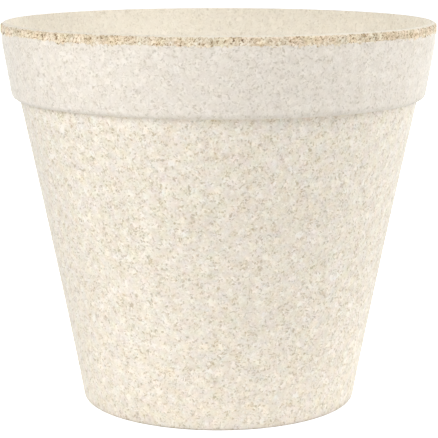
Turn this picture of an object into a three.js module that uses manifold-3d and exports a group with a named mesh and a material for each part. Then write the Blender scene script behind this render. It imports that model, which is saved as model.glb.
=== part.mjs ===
// A tapered plant pot with a stepped collar, moulded in one piece from fibre composite.
// Millimetres, +Z up. The origin is the centre of the foot, on the surface that the pot stands on.

import * as THREE from "three";
import { mergeVertices } from "three/addons/utils/BufferGeometryUtils.js";
import Module from "manifold-3d";

// Outside of the body
const potHeight = 177;
const footDiameter = 127.4;
const bodyTopDiameter = 183.6;
const bodyBow = 0.55; // how far the body is drawn in half way up
const footRound = 2;

// Collar
const collarHeight = 34.8; // from its underside to the lip
const collarBottomDiameter = 190.2;
const collarRound = 3; // lower outer edge
const ledgeRound = 0.3; // where the underside meets the body
const landHeight = 8.8; // upright land above the collar's slope
const landRound = 6;

// Ground edge round the lip, and the lip itself
const rimDiameter = 200;
const groundHeight = 4.7;
const groundProud = 0.7; // beyond the land
const groundSlope = 1.9; // height of the slope from the land out to the ground edge
const groundRound = 0.8;
const lipOuterRound = 1.2;
const lipInnerRound = 0.6;

// Wall and inside
const wall = 3.5;
const shoulderRound = 2.5; // the inside's step above the ledge
const insideFloorRound = 6;

// Floor, foot ring and drain holes
const floorThickness = 4;
const footRecess = 2;
const footRingWidth = 7;
const recessRound = 1;
const centreHoleDiameter = 12;
const ringHoleDiameter = 9;
const ringHoleCount = 6;
const ringHoleInset = 18.7; // from the foot ring's inside to the holes' centres

// Fineness of the faceted surface
const turnSteps = 96;
const holeSteps = 32;
const bowSteps = 4;
const chordError = 0.11; // how far a fillet's chord may lie from its arc
const straightLeft = 0.98; // the most of a straight edge that its two fillets may take

// Heights and radii that follow from the sizes above
const ledgeZ = potHeight - collarHeight;
const landZ = potHeight - landHeight;
const groundZ = potHeight - groundHeight;
const floorTopZ = footRecess + floorThickness;
const footRadius = footDiameter / 2;
const footInnerRadius = footRadius - footRingWidth;
const rimRadius = rimDiameter / 2;
const landRadius = rimRadius - groundProud;
const collarBottomRadius = collarBottomDiameter / 2;
const bodyTopRadius = bodyTopDiameter / 2;
const centreHoleRadius = centreHoleDiameter / 2;

const collarSlope = (landRadius - collarBottomRadius) / (landZ - ledgeZ);
const bodySlope = (bodyTopRadius - footRadius) / ledgeZ;

// Outside radius of the bowed body at a height
function bodyRadius(z) {
  const t = z / ledgeZ;
  return footRadius + bodySlope * z - bodyBow * 4 * t * (1 - t);
}

// Outside radius of the collar's slope at a height
function collarRadius(z) {
  return collarBottomRadius + collarSlope * (z - ledgeZ);
}

// How far in from a sloping outside face the inside face lies, measured level
function levelWall(slope) {
  return wall * Math.hypot(1, slope);
}

// Points along the body between two heights, each set in by an inset
function bowedFace(fromZ, toZ, inset) {
  const points = [];
  for (let i = 1; i < bowSteps; i += 1) {
    const z = THREE.MathUtils.lerp(fromZ, toZ, i / bowSteps);
    points.push({ r: bodyRadius(z) - inset, z });
  }
  return points;
}

// Half of the angle between a corner's two straight edges
function halfAngleAt(before, corner, after) {
  const back = new THREE.Vector2(before.r - corner.r, before.z - corner.z);
  const ahead = new THREE.Vector2(after.r - corner.r, after.z - corner.z);
  return Math.acos(THREE.MathUtils.clamp(back.dot(ahead) / (back.length() * ahead.length()), -1, 1)) / 2;
}

// One fillet: the arc that rounds a corner, starting the tangent's length before it
function fillet(before, corner, after, tangent) {
  const at = new THREE.Vector2(corner.r, corner.z);
  const back = new THREE.Vector2(before.r, before.z).sub(at).normalize();
  const ahead = new THREE.Vector2(after.r, after.z).sub(at).normalize();
  const halfAngle = halfAngleAt(before, corner, after);
  const radius = tangent * Math.tan(halfAngle);
  const centre = back.clone().add(ahead).normalize();
  centre.multiplyScalar(radius / Math.sin(halfAngle)).add(at);
  const first = at.clone().addScaledVector(back, tangent).sub(centre);
  const last = at.clone().addScaledVector(ahead, tangent).sub(centre);
  const sweep = Math.PI - 2 * halfAngle;
  const turn = Math.sign(first.cross(last)) * sweep;
  const arcStep = 2 * Math.acos(1 - Math.min(1, chordError / radius));
  const steps = Math.ceil(sweep / arcStep);
  const points = [];
  for (let i = 0; i <= steps; i += 1) {
    const angle = (turn * i) / steps;
    points.push(first.clone().rotateAround(new THREE.Vector2(), angle).add(centre));
  }
  return points;
}

// A closed outline from corners, each with its own fillet radius; fillets share a short edge
function roundedOutline(corners) {
  const count = corners.length;
  const before = (i) => (i + count - 1) % count;
  const after = (i) => (i + 1) % count;
  const wanted = corners.map((corner, i) => {
    const halfAngle = halfAngleAt(corners[before(i)], corner, corners[after(i)]);
    return (corner.round ?? 0) / Math.tan(halfAngle);
  });
  const share = (i, j) => {
    const edge = Math.hypot(corners[j].r - corners[i].r, corners[j].z - corners[i].z);
    return Math.min(1, (straightLeft * edge) / (wanted[i] + wanted[j]));
  };
  const points = corners.flatMap((corner, i) => {
    if (!corner.round) return [new THREE.Vector2(corner.r, corner.z)];
    const tangent = wanted[i] * Math.min(share(before(i), i), share(i, after(i)));
    return fillet(corners[before(i)], corner, corners[after(i)], tangent);
  });
  points.push(points[0].clone());
  return points;
}

// Half section of the pot, from the centre hole out under the foot, up the outside and back inside
function potSection() {
  const collarInset = levelWall(collarSlope);
  const bodyInset = levelWall(bodySlope);
  const shoulderZ = ledgeZ + wall;
  const underside = [
    { r: centreHoleRadius, z: footRecess },
    { r: footInnerRadius, z: footRecess, round: recessRound },
    { r: footInnerRadius, z: 0 },
    { r: footRadius, z: 0, round: footRound },
  ];
  const outside = [
    ...bowedFace(0, ledgeZ, 0),
    { r: bodyTopRadius, z: ledgeZ, round: ledgeRound },
    { r: collarBottomRadius, z: ledgeZ, round: collarRound },
    { r: landRadius, z: landZ, round: landRound },
    { r: landRadius, z: groundZ - groundSlope, round: groundRound },
    { r: rimRadius, z: groundZ, round: groundRound },
    { r: rimRadius, z: potHeight, round: lipOuterRound },
  ];
  const inside = [
    { r: collarRadius(potHeight) - collarInset, z: potHeight, round: lipInnerRound },
    { r: collarRadius(shoulderZ) - collarInset, z: shoulderZ, round: shoulderRound },
    { r: bodyRadius(shoulderZ) - bodyInset, z: shoulderZ, round: shoulderRound },
    ...bowedFace(shoulderZ, floorTopZ, bodyInset),
    { r: bodyRadius(floorTopZ) - bodyInset, z: floorTopZ, round: insideFloorRound },
    { r: centreHoleRadius, z: floorTopZ },
  ];
  return roundedOutline([...underside, ...outside, ...inside]);
}

// A tool for one drain hole, standing through the floor
function drainHoleTool(index) {
  const length = 3 * floorTopZ;
  const tool = new THREE.CylinderGeometry(ringHoleDiameter / 2, ringHoleDiameter / 2, length, holeSteps);
  const circleRadius = footInnerRadius - ringHoleInset;
  const angle = (2 * Math.PI * index) / ringHoleCount;
  tool.rotateX(Math.PI / 2);
  tool.translate(circleRadius * Math.cos(angle), circleRadius * Math.sin(angle), floorTopZ / 2);
  return tool;
}

const wasm = await Module();
wasm.setup();

function toSolid(geometry) {
  geometry.deleteAttribute("normal");
  geometry.deleteAttribute("uv");
  const merged = mergeVertices(geometry);
  return new wasm.Manifold(
    new wasm.Mesh({
      numProp: 3,
      vertProperties: merged.attributes.position.array,
      triVerts: Uint32Array.from(merged.index.array),
    }),
  );
}

function toGeometry(solid) {
  const mesh = solid.getMesh();
  const geometry = new THREE.BufferGeometry();
  geometry.setAttribute("position", new THREE.BufferAttribute(mesh.vertProperties, 3));
  geometry.setIndex(new THREE.BufferAttribute(mesh.triVerts, 1));
  geometry.computeVertexNormals();
  return geometry;
}

function makePot() {
  const turned = new THREE.LatheGeometry(potSection(), turnSteps).rotateX(Math.PI / 2);
  let solid = toSolid(turned);
  for (let i = 0; i < ringHoleCount; i += 1) {
    solid = solid.subtract(toSolid(drainHoleTool(i)));
  }
  const fibreComposite = new THREE.MeshStandardMaterial({ color: 0xe9dfd0, roughness: 0.85, metalness: 0 });
  const pot = new THREE.Mesh(toGeometry(solid), fibreComposite);
  pot.name = "pot";
  return pot;
}

const flowerPot = new THREE.Group();
flowerPot.add(makePot());

export default flowerPot;
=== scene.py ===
"""A tapered plant pot, moulded in one piece from speckled fibre composite.

Metres, +Z up, with the origin at the centre of the foot. The moulded skin and the bare grain of the
edge that is ground round its lip are two closed meshes, because the edge needs far finer faces.
"""

import math

import bpy
import numpy as np
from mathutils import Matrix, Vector
from mathutils.geometry import delaunay_2d_cdt


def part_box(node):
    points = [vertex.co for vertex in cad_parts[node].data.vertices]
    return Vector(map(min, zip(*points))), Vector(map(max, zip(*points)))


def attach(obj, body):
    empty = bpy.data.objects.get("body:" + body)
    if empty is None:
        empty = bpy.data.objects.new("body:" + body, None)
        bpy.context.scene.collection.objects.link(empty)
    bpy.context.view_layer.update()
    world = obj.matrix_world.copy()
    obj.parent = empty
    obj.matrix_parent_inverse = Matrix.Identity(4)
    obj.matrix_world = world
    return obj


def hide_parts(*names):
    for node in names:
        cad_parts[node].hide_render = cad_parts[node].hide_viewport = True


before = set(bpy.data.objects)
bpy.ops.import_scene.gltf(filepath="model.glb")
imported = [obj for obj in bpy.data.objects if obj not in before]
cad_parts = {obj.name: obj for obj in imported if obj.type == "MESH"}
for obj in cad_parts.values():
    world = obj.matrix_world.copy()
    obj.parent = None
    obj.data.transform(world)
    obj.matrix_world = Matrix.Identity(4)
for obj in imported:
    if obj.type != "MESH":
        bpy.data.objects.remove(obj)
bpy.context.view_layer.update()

mm = 0.001

# Overall sizes, from the frame
_, pot_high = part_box("pot")
rim_radius = pot_high.x
pot_height = pot_high.z

# Outside of the body and collar
foot_radius = 63.7 * mm
foot_round = 2 * mm
body_top_radius = 91.8 * mm
body_bow = 0.55 * mm  # how hollow the body's wall is halfway up
collar_height = 34.8 * mm
collar_bottom_radius = 95.1 * mm
collar_round = 3 * mm
ledge_round = 0.3 * mm
land_height = 8.8 * mm  # from the lip down to where the collar's slope turns upright
land_round = 6 * mm
land_inset = 0.7 * mm  # from the rim's radius to the upright land's

# The skin round the lip, set in where the ground edge covers it
edge_height = 4.7 * mm  # from the lip down to where the grain starts
skin_proud = 0.28 * mm  # how far the skin bulges from the land below the grain
skin_slope = 1.3 * mm  # the height over which it does so
skin_slope_round = 1 * mm  # where the slope starts
skin_crest_round = 0.8 * mm  # and where it ends
rebate_depth = 0.5 * mm
rebate_slope = 0.35 * mm
rebate_round = 0.1 * mm
lip_drop = 0.06 * mm  # the lip's skin lies this far under the tallest grain
lip_outer_round = 1.1 * mm
lip_inner_round = 0.6 * mm

# Wall, floor and drain holes
wall = 3.5 * mm
shoulder_round = 2.5 * mm
inside_floor_round = 6 * mm
floor_thickness = 4 * mm
foot_recess = 2 * mm
foot_ring_width = 7 * mm
foot_inner_round = 0.4 * mm
recess_round = 1 * mm
centre_hole_radius = 6 * mm
ring_hole_radius = 4.5 * mm
ring_hole_count = 6
ring_hole_inset = 18.7 * mm
hole_edge_round = 0.5 * mm

# The ground edge, a ring of bare grain bedded in the skin
edge_base_inset = 0.38 * mm  # from the rim's radius to the surface between the grains
edge_start_round = 0.5 * mm
edge_corner_round = 1.1 * mm
edge_buried = 0.55 * mm  # how deep its borders run into the skin
edge_tail = 1.5 * skin_slope  # from where the grain starts down to its buried border
edge_depth = 1.3 * mm
edge_overlap = 0.5 * mm  # how far its upper border runs in from that depth
edge_overlap_drop = 0.1 * mm
edge_back_slant = 0.3 * mm  # of its hidden back, which stands between the next two heights
edge_back_drop = 1.2 * mm  # from the lip
edge_back_lift = 0.3 * mm  # from where the grain starts

# Its grains
grain_seed = 11
grain_count = 22000
grain_length = 0.38 * mm
grain_length_spread = 0.45  # deviation of the length's logarithm
grain_slimness = (0.3, 0.8)  # width as a share of the length
grain_width = 0.16 * mm  # of the thinnest
grain_proud = 0.26 * mm
grain_lift = (0.25, 1)  # height as a share of the proudest grain's
grain_bed = 0.12 * mm  # how deep the grains sit in their bed
fibre_share = 0.1  # of grains that are long and thin
fibre_stretch = 2.2
patch_waves = (5, 9, 14, 23, 37, 61, 88)  # waves round the rim of the paler and darker patches
patch_tone = 0.04

# Its borders
border_waves = (7, 11, 17, 26, 41, 64, 97, 150, 233, 310)  # waves round the rim
lower_border_lift = 0.4 * mm  # of the grain's lower border, on the average, above the skin's edge
lower_border_wander = 0.5 * mm
lower_border_dip = 0.5  # how fast the surface between the grains sinks below that border
upper_border_drop = 0.8 * mm  # from the lip down to where the grain turns to a pale line
upper_border_wander = 0.3 * mm
upper_border_fade = 0.5 * mm

# Its tones, from 0 for the darkest to 1 for the palest
bed_tone = 0.62
pale_tone = 0.93  # of the pale line
pale_flatness = 0.6  # how much flatter the grains are there
lower_paleness = 0.05  # how much paler the grains get towards the lower border
lower_pale_height = 2.2 * mm  # from where the grain starts up to where that begins
lower_pale_fade = 2 * mm
grain_kinds = (  # share of the grains up to this kind, its darkest tone and how far it varies
    (0.34, 0.84, 0.14),
    (0.80, 0.60, 0.22),
    (0.95, 0.38, 0.20),
    (1.00, 0.02, 0.25),
)

# Fineness of the meshes
turn_steps = 360
edge_steps = 2520
edge_row_step = 0.22 * mm
hole_steps = 48
hole_round_steps = 4
wall_rows = 36
arc_step = math.radians(9)
arc_least_steps = 3

# Heights and radii that follow from the sizes above
ledge_z = pot_height - collar_height
land_z = pot_height - land_height
edge_z = pot_height - edge_height
floor_top_z = foot_recess + floor_thickness
land_radius = rim_radius - land_inset
edge_inner_radius = rim_radius - edge_depth
foot_inner_radius = foot_radius - foot_ring_width
hole_circle_radius = foot_inner_radius - ring_hole_inset
collar_slope = (land_radius - collar_bottom_radius) / (land_z - ledge_z)
body_slope = (body_top_radius - foot_radius) / ledge_z


def body_radius(z):
    """Outside radius of the bowed body at a height."""
    t = z / ledge_z
    return foot_radius + body_slope * z - body_bow * 4 * t * (1 - t)


def collar_radius(z):
    """Outside radius of the collar's slope at a height."""
    return collar_bottom_radius + collar_slope * (z - ledge_z)


def level_wall(slope):
    """How far in from a sloping outside face the inside face lies, measured level."""
    return wall * math.hypot(1, slope)


# Outlines of rounded corners

fillet_room = 0.98  # share of an edge that its two fillets may take


def corner(r, z, rounding=0.0, region=""):
    """A corner of a half section, with its fillet and the name of the surface that starts there."""
    return {"at": Vector((r, z)), "round": rounding, "region": region}


def half_angle(before, here, after):
    """Half of the angle between a corner's two edges."""
    return (before["at"] - here["at"]).angle(after["at"] - here["at"]) / 2


def fillet(before, here, after, tangent):
    """Points of the arc that rounds a corner, starting the tangent's length before it."""
    back = (before["at"] - here["at"]).normalized()
    ahead = (after["at"] - here["at"]).normalized()
    half = half_angle(before, here, after)
    radius = tangent * math.tan(half)
    centre = here["at"] + (back + ahead).normalized() * (radius / math.sin(half))
    start = here["at"] + back * tangent - centre
    sweep = math.pi - 2 * half
    turn = math.copysign(sweep, start.cross(here["at"] + ahead * tangent - centre))
    steps = max(arc_least_steps, math.ceil(sweep / arc_step))
    points = []
    for i in range(steps + 1):
        angle = turn * i / steps
        x = start.x * math.cos(angle) - start.y * math.sin(angle)
        y = start.x * math.sin(angle) + start.y * math.cos(angle)
        points.append(centre + Vector((x, y)))
    return points


def rounded_outline(corners):
    """Points and region names along an open chain of corners; fillets share a short edge."""
    wanted = [0.0] * len(corners)
    for i in range(1, len(corners) - 1):
        wanted[i] = corners[i]["round"] / math.tan(half_angle(*corners[i - 1 : i + 2]))

    def share(i, j):
        """The share of the wanted tangents that the edge between two corners has room for."""
        edge = (corners[j]["at"] - corners[i]["at"]).length
        return min(1, fillet_room * edge / (wanted[i] + wanted[j]))

    points = []
    regions = []
    for i, here in enumerate(corners):
        if wanted[i]:
            tangent = wanted[i] * min(share(i - 1, i), share(i, i + 1))
            new = fillet(corners[i - 1], here, corners[i + 1], tangent)
        else:
            new = [here["at"]]
        points += new
        regions += [here["region"]] * len(new)
    return points, regions


def wall_corners(from_z, to_z, inset, region):
    """Rows of the bowed wall between two heights, set in by an inset."""
    for i in range(1, wall_rows):
        z = from_z + (to_z - from_z) * i / wall_rows
        yield corner(body_radius(z) - inset, z, region=region)


def pot_outline():
    """Half section of the moulding, from its underside over the outside and lip to its inside floor."""
    collar_inset = level_wall(collar_slope)
    body_inset = level_wall(body_slope)
    shoulder_z = ledge_z + wall
    lip_z = pot_height - lip_drop
    skin_radius = land_radius + skin_proud
    rebate_radius = skin_radius - rebate_depth
    edge_top_radius = collar_radius(pot_height) - collar_inset
    chain = [
        corner(foot_inner_radius - 2 * recess_round, foot_recess, region="foot"),
        corner(foot_inner_radius, foot_recess, recess_round, "foot"),
        corner(foot_inner_radius, 0, foot_inner_round, "foot"),
        corner(foot_radius, 0, foot_round, "body"),
        *wall_corners(0, ledge_z, 0, "body"),
        corner(body_top_radius, ledge_z, ledge_round, "body"),
        corner(collar_bottom_radius, ledge_z, collar_round, "collar"),
        corner(land_radius, land_z, land_round, "collar"),
        corner(land_radius, edge_z - skin_slope, skin_slope_round, "collar"),
        corner(skin_radius, edge_z, skin_crest_round, "collar"),
        corner(skin_radius, edge_z + edge_buried, rebate_round, "collar"),
        corner(rebate_radius, edge_z + edge_buried + rebate_slope, rebate_round, "collar"),
        corner(rebate_radius, lip_z, lip_outer_round, "lip"),
        corner(edge_top_radius, lip_z, lip_inner_round, "lip"),
        corner(collar_radius(shoulder_z) - collar_inset, shoulder_z, shoulder_round, "inside"),
        corner(body_radius(shoulder_z) - body_inset, shoulder_z, shoulder_round, "inside"),
        *wall_corners(shoulder_z, floor_top_z, body_inset, "inside"),
        corner(body_radius(floor_top_z) - body_inset, floor_top_z, inside_floor_round, "inside"),
        corner(foot_inner_radius - 2 * inside_floor_round, floor_top_z, region="inside"),
    ]
    return rounded_outline(chain)


# Meshes


def add_object(name, data):
    """A new object in the scene."""
    thing = bpy.data.objects.new(name, data)
    bpy.context.scene.collection.objects.link(thing)
    return thing


class Faces:
    """Points, faces, a flat map and named attributes of one closed mesh, gathered piece by piece."""

    def __init__(self):
        self.points = []
        self.faces = []
        self.map = []
        self.values = {}

    def loop(self, points):
        """Adds a loop of points and returns their numbers."""
        first = len(self.points)
        self.points += points
        return list(range(first, len(self.points)))

    def circle(self, radius, z, steps, centre=(0, 0)):
        """Adds a level circle of points and returns their numbers."""
        x, y = centre
        angles = [2 * math.pi * i / steps for i in range(steps)]
        return self.loop([(x + radius * math.cos(a), y + radius * math.sin(a), z) for a in angles])

    def band(self, lower, upper, place_lower, place_upper, strips=1):
        """Joins two loops of points by quads.

        Each place gives the map point for the number of a strip and a share of its length.
        """
        steps = len(lower)
        strip_steps = steps // strips
        for i in range(steps):
            k = (i + 1) % steps
            strip, column = divmod(i, strip_steps)
            near = column / strip_steps
            far = (column + 1) / strip_steps
            self.faces.append((lower[i], lower[k], upper[k], upper[i]))
            self.map += [place_lower(strip, near), place_lower(strip, far)]
            self.map += [place_upper(strip, far), place_upper(strip, near)]

    def mark(self, name, numbers, values):
        """Gives points a value of a named attribute, the same for all or one each."""
        values = np.broadcast_to(values, len(numbers))
        self.values.setdefault(name, {}).update(zip(numbers, values))

    def build(self, name, material):
        """The finished object, smooth shaded."""
        mesh = bpy.data.meshes.new(name)
        mesh.from_pydata(self.points, [], self.faces)
        layer = mesh.uv_layers.new(name="OFBake")
        layer.uv.foreach_set("vector", np.array(self.map, np.float32).ravel())
        for key, marks in self.values.items():
            whole = np.zeros(len(self.points), np.float32)
            whole[list(marks)] = list(marks.values())
            mesh.attributes.new(key, "FLOAT", "POINT").data.foreach_set("value", whole)
        mesh.shade_smooth()
        mesh.materials.append(material)
        return add_object(name, mesh)


# Where each surface lies on the flat map, as shares of the map's side
map_gap = 0.004
map_strips = (  # regions of the outline, bottom and height of their first strip, number of strips
    (("foot",), 0.868, 0.012, 1),
    (("body", "collar"), 0.0, 0.36, 2),
    (("lip", "inside"), 0.728, 0.136, 1),
)
disc_side = 0.112
disc_bottom = 0.886
tube_height = 0.024
edge_map_strips = 7  # on the ground edge's own map


def strip_place(share, bottom, height, pitch=0.0, left=0.0, width=1.0):
    """A function that gives a map point for the number of a strip and a share of its length.

    All its points lie at one share of the strip's height.
    """

    def place(strip, along):
        return left + width * along, bottom + strip * pitch + share * height

    return place


def hole_list():
    """Centre and radius of each drain hole."""
    yield (0.0, 0.0), centre_hole_radius
    for i in range(ring_hole_count):
        angle = 2 * math.pi * i / ring_hole_count
        centre = (hole_circle_radius * math.cos(angle), hole_circle_radius * math.sin(angle))
        yield centre, ring_hole_radius


def pierced_disc(mesh, rim, holes, map_left, facing_up):
    """Fills a level circle of points but for the holes' circles."""
    nearness = 1e-7  # points closer than this are taken as one
    numbers = list(rim)
    loops = [list(range(len(rim)))]
    for circle in holes:
        loops.append(list(range(len(numbers), len(numbers) + len(circle))))
        numbers += circle
    flat = [Vector(mesh.points[n][:2]) for n in numbers]
    edges = [(loop[i], loop[(i + 1) % len(loop)]) for loop in loops for i in range(len(loop))]
    verts, _, triangles, origins, _, _ = delaunay_2d_cdt(flat, edges, [], 0, nearness)
    reach = max(p.length for p in flat)
    gaps = [(Vector(at), radius + hole_edge_round) for at, radius in hole_list()]
    for triangle in triangles:
        centre = sum((verts[k] for k in triangle), Vector((0, 0))) / 3
        if centre.length > reach or any((centre - at).length < radius for at, radius in gaps):
            continue
        corners = [numbers[origins[k][0]] for k in triangle]
        a, b, c = (Vector(mesh.points[n][:2]) for n in corners)
        if ((b - a).cross(c - a) > 0) != facing_up:
            corners.reverse()
        mesh.faces.append(tuple(corners))
        for n in corners:
            x, y, _ = mesh.points[n]
            u = map_left + disc_side * (0.5 + 0.5 * x / reach)
            v = disc_bottom + disc_side * (0.5 + 0.5 * y / reach)
            mesh.map.append((u, v))


def drain_holes(mesh):
    """The drain holes' walls with rounded edges.

    Returns their circles on the underside and those on the inside floor.
    """
    rounding = [math.pi / 2 * i / hole_round_steps for i in range(hole_round_steps + 1)]
    rows = [(1 - math.sin(a), foot_recess + hole_edge_round * (1 - math.cos(a))) for a in rounding]
    rows += [(out, foot_recess + floor_top_z - z) for out, z in reversed(rows)]
    last = len(rows) - 1
    left = 2 * (disc_side + map_gap)
    width = (1 - left) / (ring_hole_count + 1) - map_gap
    under = []
    top = []
    for index, (centre, radius) in enumerate(hole_list()):
        start = left + index * (width + map_gap)
        circles = []
        places = []
        for i, (out, z) in enumerate(rows):
            circles.append(mesh.circle(radius + hole_edge_round * out, z, hole_steps, centre))
            places.append(strip_place(i / last, disc_bottom, tube_height, left=start, width=width))
        for i in range(last):
            mesh.band(circles[i + 1], circles[i], places[i + 1], places[i])
        under.append(circles[0])
        top.append(circles[-1])
    return under, top


def make_pot(material):
    """The whole moulding as one closed mesh.

    Its attributes say where the collar and the inside are, and where the round under the collar gets
    painted shade. The lip counts as collar and as inside.
    """
    points, regions = pot_outline()
    mesh = Faces()
    circles = [mesh.circle(p.x, p.y, turn_steps) for p in points]
    along = [0.0]
    for a, b in zip(points, points[1:]):
        along.append(along[-1] + (b - a).length)
    for names, bottom, height, strips in map_strips:
        rows = [i for i, region in enumerate(regions[:-1]) if region in names]
        start = along[rows[0]]
        length = along[rows[-1] + 1] - start
        for i in rows:
            places = [
                strip_place((along[k] - start) / length, bottom, height, height + map_gap)
                for k in (i, i + 1)
            ]
            mesh.band(circles[i], circles[i + 1], *places, strips)
    under, top = drain_holes(mesh)
    pierced_disc(mesh, circles[0], under, 0, False)
    pierced_disc(mesh, circles[-1], top, disc_side + map_gap, True)
    for circle, region, point in zip(circles, regions, points):
        # How far down the round under the collar each circle lies, for the painted shade there
        turned = min(1, max(0, (ledge_z + collar_round - point.y) / painted_shade_fade))
        mesh.mark("under", circle, turned * (region == "collar"))
        mesh.mark("collar", circle, float(region in ("collar", "lip")))
        mesh.mark("inside", circle, float(region in ("inside", "lip")))
    return mesh.build("moulded_pot", material)


def smooth_wander(rng, count, waves):
    """A periodic curve of mean 0 and deviation 1 on count samples, from the given wave numbers."""
    strength = (0.4, 1)
    turn = np.linspace(0, 2 * np.pi, count, endpoint=False)
    curve = sum(np.cos(w * turn + rng.uniform(0, 2 * np.pi)) * rng.uniform(*strength) for w in waves)
    return curve / curve.std()


def edge_outline():
    """Outer half section of the ground edge between the grains, from its lower to its upper border.

    Returns even steps along it: radius, height and distance from the lower border.
    """
    radius = rim_radius - edge_base_inset
    top = pot_height - edge_base_inset
    chain = [
        corner(radius - skin_proud - edge_buried, edge_z - edge_tail),
        corner(radius - skin_proud, edge_z - skin_slope, edge_start_round),
        corner(radius, edge_z, skin_crest_round),
        corner(radius, top, edge_corner_round),
        corner(edge_inner_radius - edge_overlap, top - edge_overlap_drop),
    ]
    points, _ = rounded_outline(chain)
    along = np.cumsum([0.0] + [(b - a).length for a, b in zip(points, points[1:])])
    rows = int(along[-1] / edge_row_step)
    even = np.linspace(0, along[-1], rows + 1)
    r = np.interp(even, along, [p.x for p in points])
    z = np.interp(even, along, [p.y for p in points])
    return r, z, even


def steps_near(middle, reach, step):
    """Numbers of the even steps within reach of a place."""
    return np.arange(math.floor((middle - reach) / step), math.ceil((middle + reach) / step) + 1)


def scatter_grains(rng, columns, along, around):
    """Height and tone of the grains on the unrolled edge.

    Rows run along the outline and columns round the rim. Where grains overlap, the higher one shows.
    """
    rows = len(along)
    row_step = along[1] - along[0]
    column_step = around / columns
    height = np.zeros((rows, columns))
    tone = np.full((rows, columns), bed_tone)
    patch = smooth_wander(rng, columns, patch_waves)
    for _ in range(grain_count):
        s = rng.uniform(0, around)
        t = rng.uniform(0, along[-1])
        length = grain_length * rng.lognormal(0, grain_length_spread)
        width = max(length * rng.uniform(*grain_slimness), grain_width)
        if rng.uniform() < fibre_share:
            length *= fibre_stretch
            width = grain_width
        angle = rng.uniform(0, np.pi)
        lift = grain_proud * rng.uniform(*grain_lift)
        kind = rng.uniform()
        darkest, variation = next(row[1:] for row in grain_kinds if kind < row[0])
        shade = darkest + variation * rng.uniform()

        # The grain is a half ellipsoid on the rows i and columns k round its place
        reach = length + column_step
        i = steps_near(t, reach, row_step)
        i = i[(i >= 0) & (i < rows)]
        k = steps_near(s, reach, column_step)
        dt = (i * row_step - t)[:, None]
        ds = (k * column_step - s)[None, :]
        p = (ds * math.cos(angle) + dt * math.sin(angle)) / length
        q = (dt * math.cos(angle) - ds * math.sin(angle)) / width
        dome = lift * np.sqrt(np.clip(1 - p * p - q * q, 0, 1))
        k %= columns
        window = np.ix_(i, k)
        over = dome > height[window]
        height[window] = np.where(over, dome, height[window])
        tone[window] = np.where(over, shade + patch_tone * patch[k[0]], tone[window])
    return height, np.clip(tone, 0, 1)


def make_ground_edge(material):
    """The bare grain round the lip, as a closed ring bedded in the skin; its tone is an attribute."""
    rng = np.random.default_rng(grain_seed)
    r, z, along = edge_outline()
    height, tone = scatter_grains(rng, edge_steps, along, 2 * math.pi * rim_radius)
    lower_wander = lower_border_wander * smooth_wander(rng, edge_steps, border_waves)
    upper_wander = upper_border_wander * smooth_wander(rng, edge_steps, border_waves)
    lower = edge_z + lower_border_lift + lower_wander
    upper = pot_height - upper_border_drop + upper_wander

    # Radius, height and outward direction of each row, as columns
    slope_r = np.gradient(r)
    slope_z = np.gradient(z)
    size = np.hypot(slope_r, slope_z)
    r, z, out_r, out_z = (row[:, None] for row in (r, z, slope_z / size, -slope_r / size))

    sink = lower_border_dip * np.clip(lower - z, 0, None)
    pale = np.clip((z - upper) / upper_border_fade, 0, 1)
    relief = height * (1 - pale_flatness * pale) - grain_bed - sink
    low = np.clip((edge_z + lower_pale_height - z) / lower_pale_fade, 0, 1)
    tone = tone + lower_paleness * low
    tone = tone + (pale_tone - tone) * pale
    ring_r = np.minimum(r + relief * out_r, rim_radius)
    ring_z = np.minimum(z + relief * out_z, pot_height)

    turn = 2 * np.pi * np.arange(edge_steps) / edge_steps
    mesh = Faces()
    circles = []
    for row_r, row_z, row_tone in zip(ring_r, ring_z, tone):
        circles.append(mesh.loop(list(zip(row_r * np.cos(turn), row_r * np.sin(turn), row_z))))
        mesh.mark("tone", circles[-1], row_tone)
    back_top = (edge_inner_radius - edge_back_slant, pot_height - edge_back_drop)
    back_bottom = (edge_inner_radius, edge_z + edge_back_lift)
    circles += [mesh.circle(*back, edge_steps) for back in (back_top, back_bottom)]
    rows = len(circles)
    pitch = 1 / edge_map_strips
    places = [strip_place(i / rows, 0, pitch - map_gap, pitch) for i in range(rows + 1)]
    for i in range(rows):
        mesh.band(circles[i], circles[(i + 1) % rows], places[i], places[i + 1], edge_map_strips)
    return mesh.build("ground_edge", material)


# Materials


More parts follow.
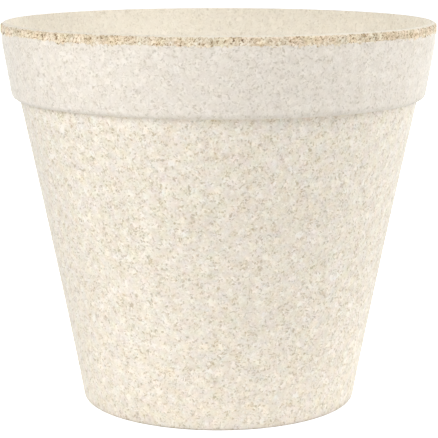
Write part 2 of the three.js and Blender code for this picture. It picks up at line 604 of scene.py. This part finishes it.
class Tree:
    """Short calls for one node tree; a value may be a number, a colour or another node's output."""

    def __init__(self, tree):
        self.tree = tree

    def feed(self, socket, value):
        """Links a socket to another node's output, or sets it to a number, vector or colour."""
        if isinstance(value, bpy.types.NodeSocket):
            self.tree.links.new(value, socket)
        else:
            socket.default_value = value

    def add(self, kind, inputs=(), **settings):
        """A new node, with its inputs by name or number."""
        node = self.tree.nodes.new(kind)
        for key, value in settings.items():
            setattr(node, key, value)
        for name, value in dict(inputs).items():
            self.feed(node.inputs[name], value)
        return node

    def math(self, operation, *values):
        return self.add("ShaderNodeMath", enumerate(values), operation=operation).outputs[0]

    def vector(self, operation, *values, **named):
        inputs = {**dict(enumerate(values)), **named}
        return self.add("ShaderNodeVectorMath", inputs, operation=operation).outputs[0]

    def measure(self, operation, *values):
        """A number that comes of vectors, such as a length or a dot product."""
        node = self.add("ShaderNodeVectorMath", enumerate(values), operation=operation)
        return node.outputs["Value"]

    def grey(self, value):
        return self.add("ShaderNodeCombineXYZ", {0: value, 1: value, 2: value}).outputs[0]

    def parts(self, value):
        """The red, green and blue of a colour."""
        return self.add("ShaderNodeSeparateColor", {0: value}).outputs

    def attribute(self, name):
        return self.add("ShaderNodeAttribute", attribute_name=name).outputs["Fac"]

    def span(self, value, from_low, from_high, to_low=0.0, to_high=1.0, smooth=False):
        """A value carried over from one span to another, and held at its ends."""
        kind = "SMOOTHSTEP" if smooth else "LINEAR"
        inputs = {0: value, 1: from_low, 2: from_high, 3: to_low, 4: to_high}
        return self.add("ShaderNodeMapRange", inputs, interpolation_type=kind).outputs[0]

    def blend(self, share, first, second):
        """The first colour, with a share of the second."""
        inputs = {0: share, 6: first, 7: second}
        return self.add("ShaderNodeMix", inputs, data_type="RGBA").outputs[2]

    def place(self, size, turn=(0, 0, 0)):
        """Object coordinates in units of the given size, after a turn in degrees."""
        where = self.add("ShaderNodeTexCoord").outputs["Object"]
        inputs = {"Vector": where, "Rotation": [math.radians(a) for a in turn]}
        turned = self.add("ShaderNodeVectorRotate", inputs, rotation_type="EULER_XYZ").outputs[0]
        return self.vector("DIVIDE", turned, (size, size, size))

    def noise(self, size, detail, turn=(0, 0, 0)):
        """Soft noise with forms of the given size."""
        inputs = {"Vector": self.place(size, turn), "Scale": 1.0, "Detail": detail}
        return self.add("ShaderNodeTexNoise", inputs).outputs

    def cells(self, where):
        """Cells of size 1, each with a random colour."""
        return self.add("ShaderNodeTexVoronoi", {"Vector": where, "Scale": 1.0}).outputs

    def discs(self, where, thickness, reach):
        """Thin discs that lie every way, one to a cell, which the surface cuts into strokes.

        Returns their mask and a random colour for each.
        """
        cells = self.cells(where)
        facing = self.vector("NORMALIZE", self.vector("SUBTRACT", cells["Color"], middle_grey))
        offset = self.vector("SUBTRACT", where, cells["Position"])
        height = self.math("ABSOLUTE", self.measure("DOT_PRODUCT", offset, facing))
        flat = self.span(height, thickness, disc_face_core * thickness, smooth=True)
        near = self.span(cells["Distance"], reach, disc_rim_core * reach, smooth=True)
        random = self.add("ShaderNodeTexWhiteNoise", {"Vector": cells["Position"]}).outputs["Color"]
        return self.math("MULTIPLY", flat, near), random


def colour(r, g, b):
    """A solid colour, linear."""
    return (r, g, b, 1.0)


def new_material(name, roughness):
    """A material, its node tree and its shader."""
    material = bpy.data.materials.new(name)
    material.use_nodes = True
    shader = material.node_tree.nodes["Principled BSDF"]
    shader.inputs["Roughness"].default_value = roughness
    return material, Tree(material.node_tree), shader


white = colour(1, 1, 1)
middle_grey = (0.5, 0.5, 0.5)  # the mean of noise, as a vector
disc_face_core = 0.4  # share of a disc's thickness within which its mask is full
disc_rim_core = 0.75  # and share of its reach

# The composite's surfaces
body_colour = colour(0.797, 0.731, 0.627)
collar_colour = colour(0.796, 0.736, 0.652)
# The inside's colour is paler than the outside's, as painted light that makes up for the shade deep in
# the pot
inside_painted_light_colour = colour(0.93, 0.88, 0.775)
lip_colour = colour(0.87, 0.805, 0.69)
outside_roughness = 0.4
inside_roughness = 0.75
painted_under_shade = 0.08  # painted shade, as a share of the colour, on the round under the collar
painted_shade_fade = 1.6 * mm  # from the top of that round down to where its painted shade is darkest
collar_calm = 0.30  # how much weaker the grain shows there than on the body
inside_calm = 0.55
tint_calm = 0.5  # how much weaker its tints show on the collar, lip and inside

# Its grain, in changes of light as a share of the surface's colour
body_hue = colour(0.86, 1.0, 1.25)  # how strongly red, green and blue follow a change
plain_hue = colour(0.905, 1.0, 1.16)  # the same on the collar, lip and inside
bend_size = 1.6 * mm  # of the noise that bends flakes, fibres and specks
bend_reach = 0.9
cloud_size = 4.5 * mm
cloud_light = 0.24
cloud_tint = (0.13, 0.03, -0.25)
crowd_size = 2.6 * mm  # of the places where strokes crowd together
crowd_noise = (0.36, 0.64)  # from the emptiest place to the fullest
crowd_strength = (0.45, 1.45)
strokes = (  # size of a cell in mm, thickness and reach in cells, share of cells, darkest, lightest
    (3.3, 0.36, 0.60, 0.80, -0.10, 0.16),
    (2.0, 0.15, 0.60, 0.85, -0.26, 0.06),
    (1.4, 0.22, 0.58, 0.85, -0.29, 0.12),
    (1.1, 0.28, 0.60, 0.85, -0.27, 0.22),
    (0.7, 0.22, 0.55, 0.80, -0.16, 0.16),
)
stroke_tint = (0.03, 0.0, -0.03)
light_strength = 1.13
light_ceiling = (0.15, 0.1)  # soft upper bound of all changes together, and its softness
light_floor = (-0.38, 0.12)

# Its sparse dark husk specks, and its pores
speck_colour = colour(0.31, 0.26, 0.19)
speck_cell = 2.6 * mm
speck_choice = (0.64, 0.70)  # random value from which a cell has one: faint at first, then in full
speck_radii = (0.21, 0.09)  # outer and inner radius of its soft border, in cells
speck_strength = 0.42
speck_collar_loss = 0.25  # of that strength on the collar
pore_size = 0.7 * mm
pore_strength = 0.2
pore_depth = 0.08 * mm


def composite_material():
    """Cream composite full of husk and fibre.

    It is livelier on the body, greyer and calmer on the collar, and calmest and matt on the lip and
    inside.
    """
    material, tree, shader = new_material("speckled_composite", outside_roughness)
    collar = tree.attribute("collar")
    inside = tree.attribute("inside")
    base = tree.blend(collar, body_colour, collar_colour)
    base = tree.blend(inside, base, inside_painted_light_colour)
    lip = tree.math("MULTIPLY", collar, inside)
    base = tree.blend(lip, base, lip_colour)
    # Painted shade: a touch darker where the collar turns under
    under = tree.math("MULTIPLY_ADD", tree.attribute("under"), -painted_under_shade, 1.0)
    base = tree.vector("SCALE", base, Scale=under)
    rougher = inside_roughness - outside_roughness
    roughness = tree.math("MULTIPLY_ADD", inside, rougher, outside_roughness)
    tree.feed(shader.inputs["Roughness"], roughness)
    calm = tree.math("MULTIPLY", collar, collar_calm)
    calm = tree.math("MAXIMUM", calm, tree.math("MULTIPLY", inside, inside_calm))
    lively = tree.math("SUBTRACT", 1.0, calm)
    plain = tree.math("MAXIMUM", collar, inside)
    tinted = tree.math("MULTIPLY_ADD", plain, -tint_calm, 1.0)
    hue = tree.blend(plain, body_hue, plain_hue)

    bend = tree.vector("SCALE", tree.noise(bend_size, 1.0)["Color"], Scale=bend_reach)
    cloud = tree.vector("SUBTRACT", tree.noise(cloud_size, 2.0)["Color"], middle_grey)
    tint = tree.vector("MULTIPLY", cloud, cloud_tint)
    light = tree.math("MULTIPLY", tree.parts(cloud)[1], cloud_light)
    # Strokes crowd together in places and leave pale islands between
    crowd = tree.noise(crowd_size, 1.0, (0, 60, 0))["Fac"]
    crowd = tree.span(crowd, *crowd_noise, *crowd_strength)

    # Flakes and fibres, each size turned another way
    for size, thickness, reach, share, darkest, lightest in strokes:
        where = tree.vector("ADD", tree.place(size * mm, (40 * size, 75 * size, 0)), bend)
        mask, random = tree.discs(where, thickness, reach)
        chosen = tree.math("LESS_THAN", tree.parts(random)[0], share)
        shade = tree.span(tree.parts(random)[1], 0, 1, darkest, lightest)
        mask = tree.math("MULTIPLY", tree.math("MULTIPLY", mask, chosen), crowd)
        light = tree.math("MULTIPLY_ADD", mask, shade, light)
        warm = tree.math("MULTIPLY", tree.math("SUBTRACT", tree.parts(random)[2], 0.5), mask)
        tint = tree.vector("MULTIPLY_ADD", tree.grey(warm), stroke_tint, tint)
    light = tree.math("SMOOTH_MIN", tree.math("MULTIPLY", light, light_strength), *light_ceiling)
    light = tree.math("SMOOTH_MAX", light, *light_floor)
    tint = tree.vector("SCALE", tint, Scale=tinted)
    whole = tree.vector("MULTIPLY_ADD", tree.grey(light), hue, tint)
    whole = tree.vector("SCALE", whole, Scale=lively)
    whole = tree.vector("MULTIPLY_ADD", whole, base, base)

    # Sparse dark husk specks, but for the inside
    where = tree.vector("ADD", tree.place(speck_cell, (15, 35, 0)), bend)
    cells = tree.cells(where)
    chosen = tree.span(tree.parts(cells["Color"])[0], *speck_choice)
    core = tree.span(cells["Distance"], *speck_radii, smooth=True)
    speck = tree.math("MULTIPLY", chosen, core)
    strength = tree.math("MULTIPLY_ADD", collar, -speck_collar_loss, speck_strength)
    speck = tree.math("MULTIPLY", speck, strength)
    speck = tree.math("MULTIPLY", speck, tree.math("SUBTRACT", 1.0, inside))
    tree.feed(shader.inputs["Base Color"], tree.blend(speck, whole, speck_colour))

    pores = tree.noise(pore_size, 2.0)["Fac"]
    inputs = {"Height": pores, "Strength": pore_strength, "Distance": pore_depth}
    tree.feed(shader.inputs["Normal"], tree.add("ShaderNodeBump", inputs).outputs[0])
    return material


# The bare grain
grain_roughness = 0.75
fine_size = 0.3 * mm  # of the noise within the grains
fine_tone = 0.2
crack_bend_size = 0.9 * mm
crack_bend_reach = 0.8
crack_reach = 0.55  # in cells
cracks = (  # size of a cell in mm, thickness in cells, share of cells, how much darker in tone
    (1.5, 0.13, 0.6, 0.42),
    (0.9, 0.16, 0.7, 0.30),
)
grain_ramp = (  # tone and colour
    (0.00, colour(0.15, 0.09, 0.04)),
    (0.25, colour(0.36, 0.25, 0.135)),
    (0.50, colour(0.59, 0.465, 0.305)),
    (0.75, colour(0.79, 0.67, 0.50)),
    (1.00, colour(0.93, 0.85, 0.70)),
)
grain_cloud_size = 6 * mm
golden_tint = (0.12, 0.0, -0.15)
pinkish_tint = (0.14, 0.0, 0.20)


def ground_material():
    """Bare grain of the ground edge: pale, tan, golden and dark brown bits."""
    material, tree, shader = new_material("bare_grain", grain_roughness)
    tone = tree.attribute("tone")
    fine = tree.math("SUBTRACT", tree.noise(fine_size, 2.0)["Fac"], 0.5)
    tone = tree.math("MULTIPLY_ADD", fine, fine_tone, tone)
    # Short dark cracks and bits between the grains
    bend = tree.noise(crack_bend_size, 1.0)["Color"]
    bend = tree.vector("SCALE", bend, Scale=crack_bend_reach)
    for size, thickness, share, depth in cracks:
        where = tree.vector("ADD", tree.place(size * mm, (50 * size, 20 * size, 0)), bend)
        mask, random = tree.discs(where, thickness, crack_reach)
        chosen = tree.math("LESS_THAN", tree.parts(random)[0], share)
        tone = tree.math("MULTIPLY_ADD", tree.math("MULTIPLY", mask, chosen), -depth, tone)
    ramp = tree.add("ShaderNodeValToRGB", {0: tone})
    stops = ramp.color_ramp.elements
    first, *middle, last = grain_ramp
    for stop, (position, shade) in zip(stops, (first, last)):
        stop.position = position
        stop.color = shade
    for position, shade in middle:
        stops.new(position).color = shade
    # Golden in places and pinkish in others
    cloud = tree.vector("SUBTRACT", tree.noise(grain_cloud_size, 1.0)["Color"], middle_grey)
    green = tree.grey(tree.parts(cloud)[1])
    tint = tree.vector("MULTIPLY_ADD", green, golden_tint, (1.0, 1.0, 1.0))
    tint = tree.vector("MULTIPLY_ADD", cloud, pinkish_tint, tint)
    tree.feed(shader.inputs["Base Color"], tree.vector("MULTIPLY", ramp.outputs[0], tint))
    return material


# Stage, light and camera

floor_radius = 9
floor_steps = 64
floor_roughness = 0.9
floor_grey = 0.9
# Distances from the pot's axis between which the floor changes
hidden_border = (50 * mm, 60 * mm)  # to pure white for the camera
shade_border = (64 * mm, 67 * mm)  # from the shade round the foot to the full grey
shade_share = 0.6  # of the full grey and glow in that shade
glow_border = (120 * mm, 250 * mm)  # from the first to the second strength of the glow
glow_strengths = (0.23, 0.05)  # which stands for the light that a white table throws back

surround_strength = 0.19
softbox_distance = 1.6
softbox_width = 0.9
neutral = (1, 1, 1)
cool = (0.96, 1.0, 0.985)
softboxes = (  # name, azimuth (0 is the camera's side, 90 its right), elevation, power and tint
    ("front_left_box", -41, 30, 17.0, neutral),
    ("right_box", 86, 30, 16.7, neutral),
    ("back_left_box", -158, 15, 9, cool),
    ("back_right_box", 158, 15, 7, cool),
)

# The photograph's camera, found by fitting the pot's sizes to its outline
image_width = 438
focal_pixels = 1714.7
camera_distance = 792.9 * mm  # level, from the pot's axis
camera_height = 228.07 * mm
aim_height = 83.91 * mm
aim_side = 0.19 * mm  # the pot stands this far left of the picture's middle
sensor_width = 36


def floor_material():
    """White and matt, with a weak glow; the camera sees it pure white, as in a cut-out photograph."""
    material, tree, shader = new_material("floor", floor_roughness)
    shader.inputs["Emission Color"].default_value = white
    seen = tree.add("ShaderNodeLightPath").outputs["Is Camera Ray"]
    distance = tree.measure("LENGTH", tree.add("ShaderNodeTexCoord").outputs["Object"])
    # Dark under the pot and in a narrow ring of shade round its foot
    seen = tree.math("MULTIPLY", seen, tree.span(distance, *hidden_border))
    clear = tree.span(distance, *shade_border, shade_share, 1.0)
    close = tree.math("MULTIPLY", clear, tree.span(distance, *glow_border, *glow_strengths))
    glow = tree.math("ADD", seen, close)
    tree.feed(shader.inputs["Base Color"], tree.grey(tree.math("MULTIPLY", clear, floor_grey)))
    tree.feed(shader.inputs["Emission Strength"], glow)
    return material


def make_floor():
    """A wide pale floor, in the plane that the pot stands on."""
    bpy.ops.mesh.primitive_circle_add(vertices=floor_steps, radius=floor_radius, fill_type="NGON")
    floor = bpy.context.object
    floor.name = "floor"
    floor.data.materials.append(floor_material())


def set_world():
    """An even white surround, which the camera sees as pure white."""
    world = bpy.data.worlds.new("surround")
    world.use_nodes = True
    world.node_tree.nodes.clear()
    tree = Tree(world.node_tree)
    seen, lit = (
        tree.add("ShaderNodeBackground", {"Color": white, "Strength": strength}).outputs[0]
        for strength in (1.0, surround_strength)
    )
    by_camera = tree.add("ShaderNodeLightPath").outputs["Is Camera Ray"]
    mix = tree.add("ShaderNodeMixShader", {0: by_camera, 1: lit, 2: seen})
    tree.add("ShaderNodeOutputWorld", {"Surface": mix.outputs[0]})
    bpy.context.scene.world = world


def add_softbox(name, azimuth, elevation, power, tint):
    """A square soft light that faces the pot's middle."""
    data = bpy.data.lights.new(name, "AREA")
    data.shape = "SQUARE"
    data.size = softbox_width
    data.energy = power
    data.color = tint
    light = add_object(name, data)
    a = math.radians(azimuth)
    e = math.radians(elevation)
    away = Vector((math.sin(a) * math.cos(e), -math.cos(a) * math.cos(e), math.sin(e)))
    middle = Vector((0, 0, pot_height / 2))
    light.location = middle + away * softbox_distance
    light.rotation_euler = away.to_track_quat("Z", "Y").to_euler()


def make_camera():
    """The photograph's camera, which looks at a point near the pot's axis."""
    data = bpy.data.cameras.new("camera")
    data.sensor_width = sensor_width
    data.lens = focal_pixels / image_width * sensor_width
    camera = add_object("camera", data)
    camera.location = (aim_side, -camera_distance, camera_height)
    aim = Vector((aim_side, 0, aim_height)) - camera.location
    camera.rotation_euler = aim.to_track_quat("-Z", "Y").to_euler()
    bpy.context.scene.camera = camera


pot = make_pot(composite_material())
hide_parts("pot")
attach(pot, "root")

ground_edge = make_ground_edge(ground_material())
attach(ground_edge, "root")

make_floor()
set_world()
for softbox in softboxes:
    add_softbox(*softbox)
make_camera()

view = bpy.context.scene.view_settings
view.view_transform = "Standard"
view.look = "None"
